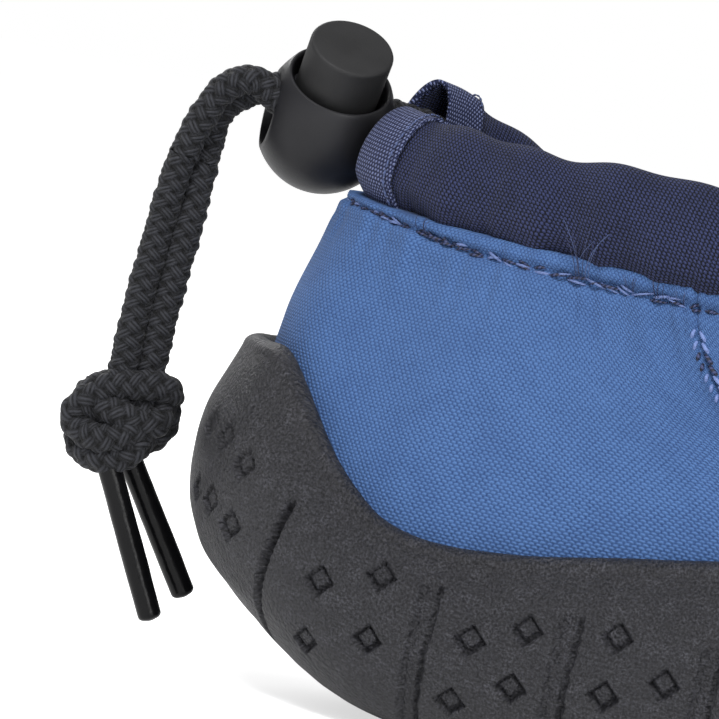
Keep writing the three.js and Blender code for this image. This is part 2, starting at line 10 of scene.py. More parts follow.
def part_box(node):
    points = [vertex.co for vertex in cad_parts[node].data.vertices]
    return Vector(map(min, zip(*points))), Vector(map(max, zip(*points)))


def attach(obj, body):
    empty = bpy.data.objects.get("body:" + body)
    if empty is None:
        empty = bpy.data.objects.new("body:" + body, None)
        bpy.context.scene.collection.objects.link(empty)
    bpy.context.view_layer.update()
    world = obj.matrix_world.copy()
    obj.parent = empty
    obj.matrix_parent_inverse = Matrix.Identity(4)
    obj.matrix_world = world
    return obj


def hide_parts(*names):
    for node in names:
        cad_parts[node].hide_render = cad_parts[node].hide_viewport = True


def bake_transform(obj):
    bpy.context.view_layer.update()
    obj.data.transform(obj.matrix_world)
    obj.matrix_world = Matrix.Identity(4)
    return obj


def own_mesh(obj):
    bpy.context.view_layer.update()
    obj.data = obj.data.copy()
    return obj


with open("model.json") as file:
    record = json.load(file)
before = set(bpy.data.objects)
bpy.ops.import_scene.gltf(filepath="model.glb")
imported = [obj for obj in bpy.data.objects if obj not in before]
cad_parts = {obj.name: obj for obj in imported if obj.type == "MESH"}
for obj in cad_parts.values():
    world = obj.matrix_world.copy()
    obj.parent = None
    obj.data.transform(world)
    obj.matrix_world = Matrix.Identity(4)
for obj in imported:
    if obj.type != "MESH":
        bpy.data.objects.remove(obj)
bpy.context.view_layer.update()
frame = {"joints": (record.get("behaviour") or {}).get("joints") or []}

MM = 0.001
CIRCLE = 2 * math.pi
rng = np.random.default_rng(7)

# -------------------- the boot's own curves, in millimetres
# A station runs from 0 at the heel to 8 at the toe; each row of a table is one station.
LATERAL = [[-35, 0], [-25, -22.5], [0, -33.5], [42, -35], [92, -38.5],
           [140, -48], [182, -47], [220, -29], [237, 9]]
MEDIAL = [[-35, 0], [-25, 22], [0, 32], [42, 30], [92, 29.5],
          [143, 40], [188, 46], [222, 38], [237, 9]]
COLLAR_LATERAL = [[-20.8, 0, 69.8], [-14, -14, 69.1], [4, -22.5, 67.4], [28, -26, 66.7], [52, -26.5, 66.5],
                  [72, -23.5, 69], [87, -17, 73], [96, -9, 77], [99, 0, 78.5]]
COLLAR_MEDIAL = [[-20.8, 0, 69.8], [-14, 14, 68.3], [4, 22.5, 64.6], [28, 26, 62.4], [52, 26.5, 62.5],
                 [72, 23.5, 66], [87, 17, 71.5], [96, 9, 76.5], [99, 0, 78.5]]
# How far the collar leans from the rubber's lip towards its own edge, per unit up.
LEAN = [[0.3], [0.28], [0.2], [0.15], [0.25], [0.6], [1.1], [1.6], [1.8]]
# Sections of the rubber wall: station, then rows of distance inside the outline and height.
PROFILES = [
    (0.9, [[14, 0], [9, 2.2], [5.5, 4.2], [2.7, 6.5], [0.5, 14], [0.6, 30], [4, 46.0]]),
    (2.25, [[9, 0], [4.5, 2], [1.5, 6], [0, 11], [0, 15.5], [1, 20.5], [3, 25]]),
    (3.5, [[9, 0], [4.5, 2], [1.5, 7], [0, 13], [0, 20], [1, 27], [3, 33]]),
    (5.6, [[9, 0], [4.5, 2], [1.5, 7], [0, 13], [0, 18], [1, 23], [3, 28]]),
    (7.8, [[16, 0], [9, 2], [4, 6], [1, 11], [0, 18], [1.5, 27], [7, 36]]),
]
SPINE_ENDS = (0, 196)  # how far back and forward the middle line of the sole runs
UPPER_INSET = 4.15  # from the rubber's outer face to the blue upper's
NEOPRENE = 2.6
SEAM = 3.35  # station of the side seams
TUBE_START = {True: 0.62, False: 0.46}  # station of the channel's lateral and medial end
TUBE_HEIGHT, TUBE_THICKNESS = 15.0, 7.4
RIBBON_SPAN = 0.6  # stations covered by a ribbon binding
RIBBON_PROUD = 0.5
OUTSOLE_LOW = [-34.6, -49.2, 0]  # the outsole's lowest corner on these curves
SHIFT = np.array(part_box("outsole")[0]) / MM - OUTSOLE_LOW  # from the curves' origin to the frame's


def in_frame(point):
    """A point of the curves in the frame's metres."""
    return tuple((point + SHIFT) * MM)


def unit(v):
    return v / np.maximum(np.linalg.norm(v, axis=-1, keepdims=True), 1e-9)


def curve(rows, t, before=None, after=None):
    """Catmull-Rom through rows at t, with the neighbours given past each end."""
    rows = np.asarray(rows, float)
    ext = np.vstack([rows[0] if before is None else before, rows, rows[-1] if after is None else after])
    i = np.clip(np.floor(t).astype(int), 0, len(rows) - 2)
    f = (t - i)[..., None]
    a, b, c, d = ext[i], ext[i + 1], ext[i + 2], ext[i + 3]
    return 0.5 * (2 * b + f * (c - a + f * (2 * a - 5 * b + 4 * c - d + f * (3 * b - a - 3 * c + d))))


def fold(q):
    """Station and side of a place q round the boot: 0 heel, 0..8 lateral, 8 toe, 8..16 medial."""
    q = np.mod(q, 16)
    return np.where(q <= 8, q, 16 - q), q <= 8


def both(lateral_rows, medial_rows, s, lateral):
    """Points at station s of the lateral or the medial curve, smooth across the heel and the toe."""
    one = curve(lateral_rows, s, medial_rows[1], medial_rows[-2])
    two = curve(medial_rows, s, lateral_rows[1], lateral_rows[-2])
    return np.where(np.asarray(lateral)[..., None], one, two)


def outline(s, lateral):
    return both(LATERAL, MEDIAL, s, lateral)


def spine(s):
    middle = (outline(s, np.ones(np.shape(s), bool)) + outline(s, np.zeros(np.shape(s), bool))) / 2
    middle[..., 0] = np.clip(middle[..., 0], *SPINE_ENDS)
    return middle


def inward(s, lateral):
    return unit(spine(s) - outline(s, lateral))


def smooth(x, a, b):
    """0 at a, 1 at b and an even turn between them; b may be the smaller one."""
    x = np.clip((x - a) / (b - a), 0, 1)
    return x * x * (3 - 2 * x)


def profile(s, t):
    """Distance inside the outline and height of the wall's section at s; t is 0 below and 1 at the lip."""
    out = curve(PROFILES[0][1], t * 6)
    for (p, _), (q, rows) in zip(PROFILES, PROFILES[1:]):
        w = smooth(s, p, q)[..., None]
        out = out * (1 - w) + curve(rows, t * 6) * w
    return out


def rocker(x):
    """Lift of the tread behind x 20 and ahead of x 150."""
    return 0.006 * np.maximum(0, 20 - x) ** 2 + 0.0013 * np.maximum(0, x - 150) ** 2


def sole(q, t, inside=0.0):
    """Outer face of the rubber wall, or a face the given distance inside it."""
    q, t, inside = np.broadcast_arrays(np.asarray(q, float), np.asarray(t, float), np.asarray(inside, float))
    s, lateral = fold(q)
    p = profile(s, t)
    n = inward(s, lateral)
    xy = outline(s, lateral) + n * p[..., :1]
    top = profile(s, np.ones_like(t))[..., 1]
    z = p[..., 1] + rocker(xy[..., 0]) * (1 - p[..., 1] / top)
    return np.concatenate([xy + n * inside[..., None], z[..., None]], -1)


def collar(q):
    return both(COLLAR_LATERAL, COLLAR_MEDIAL, *fold(q))


def collar_up(q):
    """Direction in which the upper's edge and the channel rise."""
    s, _ = fold(q)
    flat = unit(collar(q)[..., :2] - sole(q, 1.0)[..., :2]) * curve(LEAN, s)
    return unit(np.concatenate([flat, np.ones(flat.shape[:-1] + (1,))], -1))


def inward3(q):
    """Level direction from the outline towards the middle of the sole."""
    n = inward(*fold(q))
    return np.concatenate([n, np.zeros(n.shape[:-1] + (1,))], -1)


def upper(q, v):
    """Outer face of the blue upper: v 0 at the rubber's lip, 1 at the collar, below 0 inside the rubber."""
    q, v = np.broadcast_arrays(np.asarray(q, float), np.asarray(v, float))
    start = sole(q, 1.0, UPPER_INSET)
    end = collar(q)
    reach = 0.4 * np.linalg.norm(end - start, axis=-1, keepdims=True)
    rise = unit(inward3(q) * 0.15 + [0, 0, 1])
    one = start + rise * np.minimum(reach, 14)
    two = end - collar_up(q) * reach
    w = np.maximum(v, 0)[..., None]
    bezier = start * (1 - w) ** 3 + 3 * one * w * (1 - w) ** 2 + 3 * two * w * w * (1 - w) + end * w ** 3
    return bezier + rise * np.minimum(v, 0)[..., None] * 14


# -------------------- small tools
def waves(u, v, scale, seed):
    """Smooth irregular value about -1..1 over two coordinates, with features about scale wide."""
    local = np.random.default_rng(seed)
    total = 0
    for _ in range(7):
        angle = local.uniform(0, CIRCLE)
        k = CIRCLE / (scale * local.uniform(0.8, 2.2))
        total = total + np.sin(k * (u * math.cos(angle) + v * math.sin(angle)) + local.uniform(0, 6.28))
    return total / 3.2


def circle(count):
    return np.linspace(0, CIRCLE, count, endpoint=False)


def normals(grid, wrap_u=False):
    across = np.roll(grid, -1, 0) - np.roll(grid, 1, 0) if wrap_u else np.gradient(grid, axis=0)
    return unit(np.cross(across, np.gradient(grid, axis=1)))


def lengths(grid, axis):
    """Distance along the grid's rows or columns."""
    step = np.linalg.norm(np.diff(grid, axis=axis), axis=-1)
    zero = np.zeros_like(np.take(step, [0], axis))
    return np.concatenate([zero, np.cumsum(step, axis)], axis)


def stack(*values):
    return np.stack(np.broadcast_arrays(*[np.asarray(v, float) for v in values]), -1)


def link(name, data):
    obj = bpy.data.objects.new(name, data)
    bpy.context.scene.collection.objects.link(obj)
    return obj


def mesh_object(name, points, faces, material, cloth, relief=None):
    """A smooth mesh whose points carry a cloth coordinate in mm and, for cord, the braid's relief."""
    mesh = bpy.data.meshes.new(name)
    points = np.asarray(points, float) + SHIFT
    mesh.vertices.add(len(points))
    mesh.vertices.foreach_set("co", (points * MM).astype(np.float32).ravel())
    mesh.loops.add(faces.size)
    mesh.loops.foreach_set("vertex_index", faces.astype(np.int32).ravel())
    mesh.polygons.add(len(faces))
    mesh.polygons.foreach_set("loop_start", np.arange(0, faces.size, faces.shape[1], dtype=np.int32))
    mesh.polygons.foreach_set("use_smooth", np.ones(len(faces), bool))
    mesh.update(calc_edges=True)
    layer = mesh.attributes.new("cloth", "FLOAT_VECTOR", "POINT")
    layer.data.foreach_set("vector", np.asarray(cloth, np.float32).ravel())
    if relief is not None:
        layer = mesh.attributes.new("relief", "FLOAT", "POINT")
        layer.data.foreach_set("value", np.asarray(relief, np.float32).ravel())
    mesh.materials.append(material)
    return link(name, mesh)


def grid_faces(m, n, wrap_u=False, wrap_v=False):
    index = np.arange(m * n).reshape(m, n)
    iu, iv = np.arange(m if wrap_u else m - 1), np.arange(n if wrap_v else n - 1)
    a = index[iu][:, iv]
    b = index[(iu + 1) % m][:, iv]
    c = index[(iu + 1) % m][:, (iv + 1) % n]
    d = index[iu][:, (iv + 1) % n]
    return np.stack([a, b, c, d], -1).reshape(-1, 4)


def grid_object(name, grid, material, cloth, relief=None, wrap_u=False, wrap_v=False, flip=False):
    faces = grid_faces(*grid.shape[:2], wrap_u, wrap_v)
    if flip:
        faces = faces[:, ::-1]
    return mesh_object(name, grid.reshape(-1, 3), faces, material, cloth, relief)


def resample(points, step):
    """Even points along a Catmull-Rom curve through the given ones."""
    points = np.asarray(points, float)
    dense = curve(points, np.linspace(0, len(points) - 1, 60 * len(points)))
    along = lengths(dense, 0)
    count = max(3, int(round(along[-1] / step)) + 1)
    at = np.linspace(0, along[-1], count)
    return np.stack([np.interp(at, along, dense[:, k]) for k in range(3)], -1), at


def rings(path, radius, theta):
    """Rings of the given radius about a path, turned as little as it allows, at the angles theta."""
    tangent = unit(np.gradient(path, axis=0))
    side = np.zeros_like(path)
    first = np.cross(tangent[0], [0.31, 0.9, 0.29])
    side[0] = unit(first)
    for i in range(1, len(path)):
        side[i] = unit(side[i - 1] - tangent[i] * np.dot(side[i - 1], tangent[i]))
    other = np.cross(tangent, side)
    grid = path[:, None] + side[:, None] * (radius * np.cos(theta))[..., None]
    return grid + other[:, None] * (radius * np.sin(theta))[..., None]


# -------------------- materials
class Shader:
    """A node material with short helpers. Values are numbers or sockets."""

    def __init__(self, name, roughness, specular=0.35):
        self.material = bpy.data.materials.new(name)
        self.material.use_nodes = True
        self.tree = self.material.node_tree
        self.out = self.tree.nodes["Principled BSDF"]
        self.set("Roughness", roughness)
        self.set("Specular IOR Level", specular)

    def put(self, socket, value):
        if isinstance(value, bpy.types.NodeSocket):
            self.tree.links.new(value, socket)
        else:
            socket.default_value = value

    def set(self, name, value):
        """One input of the finished surface."""
        self.put(self.out.inputs[name], value)

    def node(self, kind, settings=None, **inputs):
        node = self.tree.nodes.new("ShaderNode" + kind)
        for key, value in (settings or {}).items():
            setattr(node, key, value)
        for key, value in inputs.items():
            self.put(node.inputs[key.replace("_", " ")], value)
        return node

    def math(self, operation, a, b=0.0, c=0.0):
        node = self.node("Math", {"operation": operation})
        for socket, value in zip(node.inputs, (a, b, c)):
            self.put(socket, value)
        return node.outputs[0]

    def times(self, a, b):
        return self.math("MULTIPLY", a, b)

    def plus(self, a, b):
        return self.math("ADD", a, b)

    def cloth(self):
        return self.node("Attribute", {"attribute_name": "cloth"}).outputs["Vector"]

    def relief(self):
        return self.node("Attribute", {"attribute_name": "relief"}).outputs["Fac"]

    def parts(self, vector):
        return self.node("SeparateXYZ", Vector=vector).outputs

    def noise(self, vector, scale, detail=2.0, rough=0.55):
        node = self.node("TexNoise", Vector=vector, Scale=scale, Detail=detail, Roughness=rough)
        return node.outputs["Fac"]

    def mix(self, factor, a, b):
        node = self.node("Mix", {"data_type": "RGBA"})
        for index, value in ((0, factor), (6, a), (7, b)):  # a Mix node's factor and its two colours
            self.put(node.inputs[index], value)
        return node.outputs[2]

    def ramp(self, value, low, high):
        settings = {"interpolation_type": "SMOOTHSTEP"}
        return self.node("MapRange", settings, Value=value, From_Min=low, From_Max=high).outputs[0]

    def bump(self, height, depth, strength):
        """Bumps of the given depth in mm."""
        node = self.node("Bump", Height=height, Distance=depth * MM, Strength=strength)
        self.set("Normal", node.outputs["Normal"])

    def color(self, value):
        self.set("Base Color", value)


def rgb(text):
    """Linear colour from a hex sRGB one."""
    values = [int(text[i:i + 2], 16) / 255 for i in (0, 2, 4)]
    return tuple(v / 12.92 if v < 0.04045 else ((v + 0.055) / 1.055) ** 2.4 for v in values) + (1.0,)


def knit(name, dark, light, pitch, row, slant=0.0, depth=0.12, lobe=(-0.5, 0.8), mottle=0.25):
    """Knit cloth: bright loops in a brick lattice over dark gaps. Pitch and row are in mm."""
    m = Shader(name, 0.85, 0.2)
    cloth = m.cloth()
    parts = m.parts(cloth)
    wobble = m.times(m.math("SUBTRACT", m.noise(cloth, 0.9), 0.5), 0.35)
    u = m.plus(m.plus(parts[0], m.times(parts[1], slant)), wobble)
    v = m.plus(parts[1], m.times(wobble, 0.45))
    across = m.math("COSINE", m.times(u, CIRCLE / pitch))
    lattice = m.times(across, m.math("COSINE", m.times(v, CIRCLE / row)))
    courses = m.times(m.math("COSINE", m.times(v, 2 * CIRCLE / row)), 0.4)
    fuzz = m.times(m.math("SUBTRACT", m.noise(cloth, 2.6, 3.0, 0.7), 0.5), 1.5)
    height = m.plus(m.plus(lattice, courses), fuzz)
    broad = m.ramp(m.noise(cloth, 0.16), 0.25, 0.75)
    tone = m.times(m.ramp(height, *lobe), m.plus(m.times(broad, mottle), 1 - mottle / 2))
    m.color(m.mix(tone, rgb(dark), rgb(light)))
    m.bump(height, depth, 0.8)
    m.set("Sheen Weight", 0.04)
    m.set("Sheen Roughness", 0.5)
    return m.material


def rubber_material():
    """Grained rubber: leathery cells warped by noise, with paler specks on the raised grain as painted
    highlights, denser in broad random patches.
    """
    m = Shader("rubber_grain", 0.5, 0.32)
    cloth = m.cloth()
    warp = m.node("VectorMath", {"operation": "ADD"})
    m.put(warp.inputs[0], cloth)
    m.put(warp.inputs[1], m.node("TexNoise", Vector=cloth, Scale=1.2).outputs["Color"])
    smoothed = {"feature": "SMOOTH_F1"}
    cells = m.node("TexVoronoi", smoothed, Vector=warp.outputs[0], Scale=1.55, Smoothness=0.4)
    grain = m.noise(cloth, 2.8, 4.0, 0.7)
    # painted highlights: paler specks where the grain stands highest, denser in broad random patches
    pale_patches = m.ramp(m.noise(cloth, 0.35, 5.0, 0.7), 0.45, 0.75)
    speck = m.times(m.plus(m.times(pale_patches, 0.45), 0.4), m.ramp(grain, 0.38, 0.66))
    m.color(m.mix(speck, rgb("131316"), rgb("4f4f56")))
    m.set("Roughness", m.plus(m.times(grain, 0.35), 0.28))
    m.bump(m.plus(m.times(cells.outputs["Distance"], -1.0), m.times(grain, 0.8)), 0.45, 1.0)
    return m.material


def cord_material():
    """Black braid: fine yarns along each strand, painted shade between the strands, with a little lint."""
    m = Shader("cord_braid", 0.6, 0.16)
    cloth = m.cloth()
    stretched = m.node("Mapping", Vector=cloth, Scale=(9.0, 1.6, 1.0)).outputs[0]
    fibre = m.noise(stretched, 1.0, 3.0, 0.65)
    lint = m.ramp(m.noise(cloth, 6.0, 4.0, 0.8), 0.56, 0.72)
    yarn = m.math("SINE", m.times(m.parts(cloth)[0], 13.0))
    strands = m.plus(fibre, m.times(yarn, 0.3))
    # painted shade: the colour darkens where the braid's relief is low, between the strands
    tone = m.times(m.ramp(m.relief(), 0.3, 0.95), m.ramp(strands, 0.0, 0.8))
    body = m.mix(tone, rgb("020203"), rgb("313237"))
    m.color(m.mix(m.times(lint, m.times(fibre, 0.4)), body, rgb("48494d")))
    m.bump(m.plus(strands, m.times(lint, 0.4)), 0.16, 0.9)
    m.set("Sheen Weight", 0.05)
    return m.material


def moulded(name, color, other, rough, grain_scale, grain_depth, specular=0.28, metallic=0.0):
    """Moulded plastic or metal with a fine grain; the scale is in grains per metre."""
    m = Shader(name, rough, specular)
    place = m.node("TexCoord").outputs["Object"]
    grain = m.noise(place, grain_scale, 3.0, 0.6)
    broad = m.noise(place, grain_scale / 25, 2.0)
    m.color(m.mix(m.ramp(broad, 0.3, 0.7), rgb(color), rgb(other)))
    m.set("Roughness", m.plus(m.times(grain, 0.16), rough - 0.08))
    m.bump(grain, grain_depth, 0.6)
    m.set("Metallic", metallic)
    return m.material


def thread_material():
    """Twisted thread. The cloth coordinate holds the angle, the distance and the thread's tone."""
    m = Shader("sewing_thread", 0.6, 0.4)
    angle, along, tone = m.parts(m.cloth())
    twist = m.math("SINE", m.plus(m.times(along, 9.0), angle))
    body = m.mix(m.ramp(twist, -0.6, 0.9), rgb("12162a"), rgb("343c60"))
    m.color(m.mix(m.ramp(tone, 0.55, 0.75), body, rgb("6477a8")))
    m.bump(twist, 0.05, 0.8)
    return m.material


BLUE = knit("royal_knit", "152a55", "466595", 0.8, 0.92, depth=0.09, lobe=(-1.35, 0.45), mottle=0.2)
NAVY = knit("navy_knit", "02030a", "2f3659", 0.62, 0.94, slant=0.35, lobe=(-0.75, 0.65), mottle=0.35)
RIBBON = knit("ribbon_weave", "1a203c", "6a7398", 0.7, 1.1, slant=-0.3, lobe=(-0.2, 0.9))
LINING = knit("lining_knit", "101218", "2a2c36", 0.7, 0.9)
RUBBER = rubber_material()
CORD = cord_material()
THREAD = thread_material()
BARREL = moulded("barrel_satin", "17171a", "1e1e21", 0.46, 2500.0, 0.03)
BUTTON = moulded("button_matt", "1b1b1c", "212122", 0.62, 4000.0, 0.05)
STEEL = moulded("spring_steel", "8c8f94", "a5a8ac", 0.35, 900.0, 0.02, metallic=1.0)
TIP = moulded("tip_gloss", "070708", "0e0e10", 0.24, 700.0, 0.12, specular=0.17)


def finish_piece(obj, body, slot, *nodes):
    """Ride on a body and stand for the CAD nodes, if any. The slot is not used."""
    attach(obj, body)
    if nodes:
        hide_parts(*nodes)


# -------------------- rubber outsole
def arc_table():
    """Distance along the wall from the middle of the heel, against place round the boot."""
    q = np.linspace(-8, 8, 6401)
    along = lengths(sole(q, 0.5), 0)
    return q, along - np.interp(0, q, along)


ARC_Q, ARC = arc_table()
HALF = {True: ARC[-1], False: -ARC[0]}  # length of the wall's lateral and medial half

# Pockets of the tread: distance along the wall from the middle of the heel, height.
HEEL_POCKETS = [[6.2, 15.3], [17, 25.6], [22.6, 24.7], [28.3, 22.2], [16.7, 34.6], [22.4, 33.8],
                [28.3, 30.9], [44.2, 9.7], [54.2, 12], [45.3, 18.2], [54.2, 20.9]]
GROUP_POCKETS = [[[7.0, 15.3], [14.4, 18.4], [5.7, 6.4], [13.8, 10.2]],
                 [[6.7, 20.2], [14.4, 15.5], [6.5, 12.0], [14.2, 7.4]]]
POCKET_HALF, POCKET_DEPTH = 1.55, 1.15  # diamonds that stand on a corner
PAD_HEIGHT = 0.75  # of the small raised diamond in each pocket
HEEL_GROOVE = 34.6  # distance of the upright groove on each side
GROOVE_FIRST, GROOVE_SPACING, TOE_MARGIN = 61.5, 20.0, 14
DETAILED = (-30, 116)  # stretch of the wall, by distance, with the finest columns
LIP_HEIGHT = 1.7


def tread_depth(arcs, height, climb):
    """How deep the pockets and grooves are at each point of the wall."""
    depth = np.zeros(height.shape)

    def window(distance, reach):
        return np.nonzero(np.abs(arcs - distance) < reach)[0]

    def pocket(distance, z):
        columns = window(distance, 3.2)
        if not len(columns):
            return
        base = np.array([np.interp(z, height[c], climb[c]) for c in columns])[:, None]
        across, up = arcs[columns, None] - distance, climb[columns] - base
        reach = (np.abs(across) + np.abs(up)) / math.sqrt(2)
        raised = (np.abs(across + 0.1) + np.abs(up - 0.3)) / math.sqrt(2)
        well = POCKET_DEPTH * smooth(reach, POCKET_HALF + 0.16, POCKET_HALF - 0.12)
        pad = PAD_HEIGHT * smooth(raised, 1.22, 0.98)
        depth[columns] = np.maximum(depth[columns], well - pad)

    def groove(distance, width, low, high, lean, deep, rough, soft):
        """A leaning groove from the height low to high, with a thin slit along each edge."""
        columns = window(distance, width + 6)
        z = height[columns]
        shift = arcs[columns, None] - distance - lean * (z - 12)
        edge = rough * waves(z, 0 * z, 1.6, int(abs(distance)))
        left = smooth(shift, -width / 2 - soft, -width / 2 + 0.25)
        right = smooth(shift, width / 2 + 0.3 + edge, width / 2 - 0.1 + edge)
        slit = 0.8 * np.exp(-((shift - width / 2 + 0.35 - edge) / 0.28) ** 2)
        slit += 0.45 * np.exp(-((shift + width / 2) / 0.32) ** 2)
        span = smooth(z, high + 0.8, high - 0.8) * smooth(z, low - 1.5, low)
        depth[columns] = np.maximum(depth[columns], (deep * left * right + slit) * span)

    for sign in (1, -1):
        for distance, z in HEEL_POCKETS:
            pocket(sign * distance, z)
        groove(sign * HEEL_GROOVE, 0.8, 6, 27.5, 0.22 * sign, 1.3, 0.03, 0.8)
        start, group = GROOVE_FIRST, 0
        while start < HALF[sign > 0] - TOE_MARGIN:
            groove(sign * start, 2.7, 2.5, 21.5, 0.04 * sign, 0.6, 0.16, 0.15)
            for distance, z in GROUP_POCKETS[group % 2]:
                pocket(sign * (start + distance), z)
            start += GROOVE_SPACING
            group += 1
    return depth


def outsole():
    """The rubber cup as one sheet: under the tread, up the wall, over the lip and down inside."""
    fine, rows = ((0.27, 135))
    first, last = DETAILED
    arcs = np.concatenate([np.arange(-HALF[False], first, 1.0), np.arange(first, last, fine),
                           np.arange(last, HALF[True], 1.0)])
    q = np.interp(arcs, ARC, ARC_Q)[:, None]
    wall = sole(q, np.linspace(0, 1, rows)[None])
    climb = lengths(wall, 1)
    height = wall[..., 2]
    along = arcs[:, None] * np.ones_like(height)
    swell = 0.14 * waves(along, height, 16, 3) + 0.04 * waves(along, height, 5, 4)
    wall = wall + normals(wall, wrap_u=True) * (swell - tread_depth(arcs, height, climb))[..., None]

    middle = np.concatenate([spine(fold(q[:, 0])[0]), np.zeros((len(arcs), 1))], -1)[:, None]
    edge = sole(q, 0.0)
    share = np.linspace(0, 0.97, 14)[None, :, None]
    under = middle * (1 - share) + edge * share
    reach = np.linalg.norm(under - edge, axis=-1)
    ribs = 1.2 * (np.sin(under[..., 0] * 0.9) > 0.3)
    under[..., 2] = rocker(under[..., 0]) + ribs * smooth(share[..., 0], 0.97, 0.8)

    angle = np.linspace(0.16, math.pi * 0.93, 14)[None]
    lip = sole(q, 1.0, UPPER_INSET * (1 - np.cos(angle)) / 2)
    lip[..., 2] += LIP_HEIGHT * np.sin(angle) - 0.9 * smooth(angle, 1.6, 3.0)
    lip[..., 2] += 0.12 * waves(along[:, :1], angle * 2, 9, 6)
    down = np.linspace(0.02, 0.5, 8)[None]
    inner = sole(q, 1 - down, UPPER_INSET + 0.05)

    top = climb[:, -1:]
    grid = np.concatenate([under, wall, lip, inner], 1)
    grid_up = np.concatenate([-reach, climb, top + angle * 1.4, top + 4.5 + down * 20], 1)
    obj = grid_object("outsole_rubber", grid, RUBBER, stack(along[:, :1], grid_up, 0), wrap_u=True)
    finish_piece(obj, "boot", "rubber", "outsole")


# -------------------- blue upper
STITCH_LEVEL = 0.975
EDGE_LEVEL = 1.045  # the blue cloth's raw edge above the stitches
PANEL_OVERLAP = 0.006


def ridge(x, width):
    """1 at x 0, falling away evenly on both sides."""
    return np.exp(-(x / width) ** 2)


def upper_shape(q, v, seed):
    """The upper with its folds, puckers and sunken seam, its normals and the distance round it."""
    s, _ = fold(q)
    above = np.maximum(v - STITCH_LEVEL, 0)
    points = upper(q, v - above * (0.5 - 0.3 * smooth(s, 0.8, 3.2)))
    normal = normals(points)
    u = lengths(upper(q, 0.5 * np.ones_like(v)), 0)
    beside = np.abs(s - SEAM)
    calm = smooth(beside, 0.0, 0.14)
    sewn = smooth(s, 0.2, 1.4)

    # puckers gathered under the stitches, and broad folds over the whole panel
    pucker = smooth(v, 0.62, STITCH_LEVEL) * smooth(v, 1.1, STITCH_LEVEL)
    move = calm * pucker * (0.45 * waves(u, v * 0, 9, seed) + 0.22 * waves(u, v * 0, 3.2, seed + 1))
    move += calm * 0.55 * waves(u, v * 38, 26, seed + 2) * smooth(v, 0, 0.3) * smooth(v, 1, 0.8)
    # the side seam is a narrow valley between two welts
    move += 0.35 * ridge(beside - 0.035, 0.02) - 0.55 * ridge(beside, 0.012)
    # the stitches pull the cloth in, and it swells above and below them
    move -= (0.25 + 0.5 * sewn) * ridge(v - STITCH_LEVEL, 0.018)
    uneven = 1 + 0.5 * calm * waves(u, v * 0, 4, seed + 4)
    move += 0.42 * sewn * ridge(v - STITCH_LEVEL - 0.04, 0.022) * uneven
    move += 0.3 * smooth(v, 0.87, 0.94) * smooth(v, STITCH_LEVEL, 0.94)
    return points + normal * move[..., None], normal, u


def panel(name, start, end, node, seed, columns):
    """A panel with a knit face and a lining, joined along the raw edge at its top."""
    q = np.linspace(start, end, columns)[:, None]
    v = np.concatenate([np.linspace(-0.3, 0.84, 40), np.linspace(0.855, EDGE_LEVEL, 28)])[None]
    outer, normal, u = upper_shape(q, v, seed)
    inner = upper(q, v) - normal * NEOPRENE
    height = lengths(outer, 1) + outer[:, :1, 2]
    u = u - np.interp(0 if start < 0 else 8, q[:, 0], u[:, 0])
    grid = np.concatenate([outer, inner[:, ::-1]], 1)
    cloth = stack(np.concatenate([u, u[:, ::-1]], 1), np.concatenate([height, height[:, ::-1]], 1), 0)
    obj = grid_object(name, grid, BLUE, cloth)
    obj.data.materials.append(LINING)
    face_rows = np.tile(np.arange(grid.shape[1] - 1), grid.shape[0] - 1)
    obj.data.polygons.foreach_set("material_index", (face_rows >= v.shape[1]).astype(np.int32))
    finish_piece(obj, "boot", "neoprene", node)


# -------------------- collar channel with its ribbon ends
def tube_ring(q, angle, height, thickness):
    """Points on the channel's section: angle 0 outward, a quarter turn is up."""
    up = collar_up(q)
    out = -inward3(q)
    out = unit(out - up * np.sum(out * up, -1, keepdims=True))
    far = smooth(np.mod(q, 16), 13.6, 15.3)[..., None]  # 1 at the medial end, which stands higher
    full = 0.9 + 0.1 * smooth(fold(q)[0], 1.2, 3.6) + 0.16 * far[..., 0]
    height = height * full
    lift = TUBE_HEIGHT / 2 * full[..., None] + 0.4 + 2.4 * far
    centre = collar(q) + up * lift + inward3(q) * 1.7
    rise = np.sin(angle)
    tuck = 1.3 * smooth(rise, -0.55, -1.0)
    ring = centre + up * (height / 2 * rise)[..., None]
    return ring + out * (thickness / 2 * np.cos(angle) - tuck)[..., None]


def sleeve(name, start, end, proud, wall, wave, columns, depth, material, slot, node):
    """A hollow tube along the collar, folded in by depth at both ends."""
    height, thickness = TUBE_HEIGHT + proud, TUBE_THICKNESS + proud
    q = np.linspace(start, end, columns)[:, None]
    angle = np.linspace(-math.pi / 2, 1.5 * math.pi, 73)[None]
    u = lengths(tube_ring(q, 0 * angle, height, thickness), 0)
    around = lengths(tube_ring(q, angle, height, thickness + 0 * angle), 1)
    grid = tube_ring(q, angle, height + 0.4 + 0 * angle, thickness + 0 * angle)
    normal = normals(grid)

    low = smooth(np.sin(angle), 0.7, -0.6)
    gathers = 0.42 * waves(u, angle * 0.6, 6, 12) + 0.2 * waves(u, angle * 0.4, 2.8, 13)
    sway = 0.5 * np.cos(angle) * waves(u, 0 * u, 30, 14)
    wave = wave * smooth(np.minimum(u, u[-1:] - u), 1.0, 12.0)
    move = wave * (0.5 * waves(u, angle * 2, 13, 11) + low * gathers + sway)
    outer = grid + normal * move[..., None]
    inner = grid + normal * (move - wall)[..., None]

    step = u[-1, 0] / (columns - 1)
    reach = max(2, int(depth / step))

    def folded(middle, turned_in):
        return np.concatenate([turned_in[reach:0:-1], middle, turned_in[-2:-reach - 2:-1]], 0)

    cloth = stack(folded(u, u), folded(around, around), 0)
    obj = grid_object(name, folded(outer, inner), material, cloth)
    finish_piece(obj, "boot", slot, node)


# -------------------- cords and threads
STRANDS_PER_WAY, STRAND_PITCH = 4, 2.1  # braid strands each way round the cord, and mm along it for each


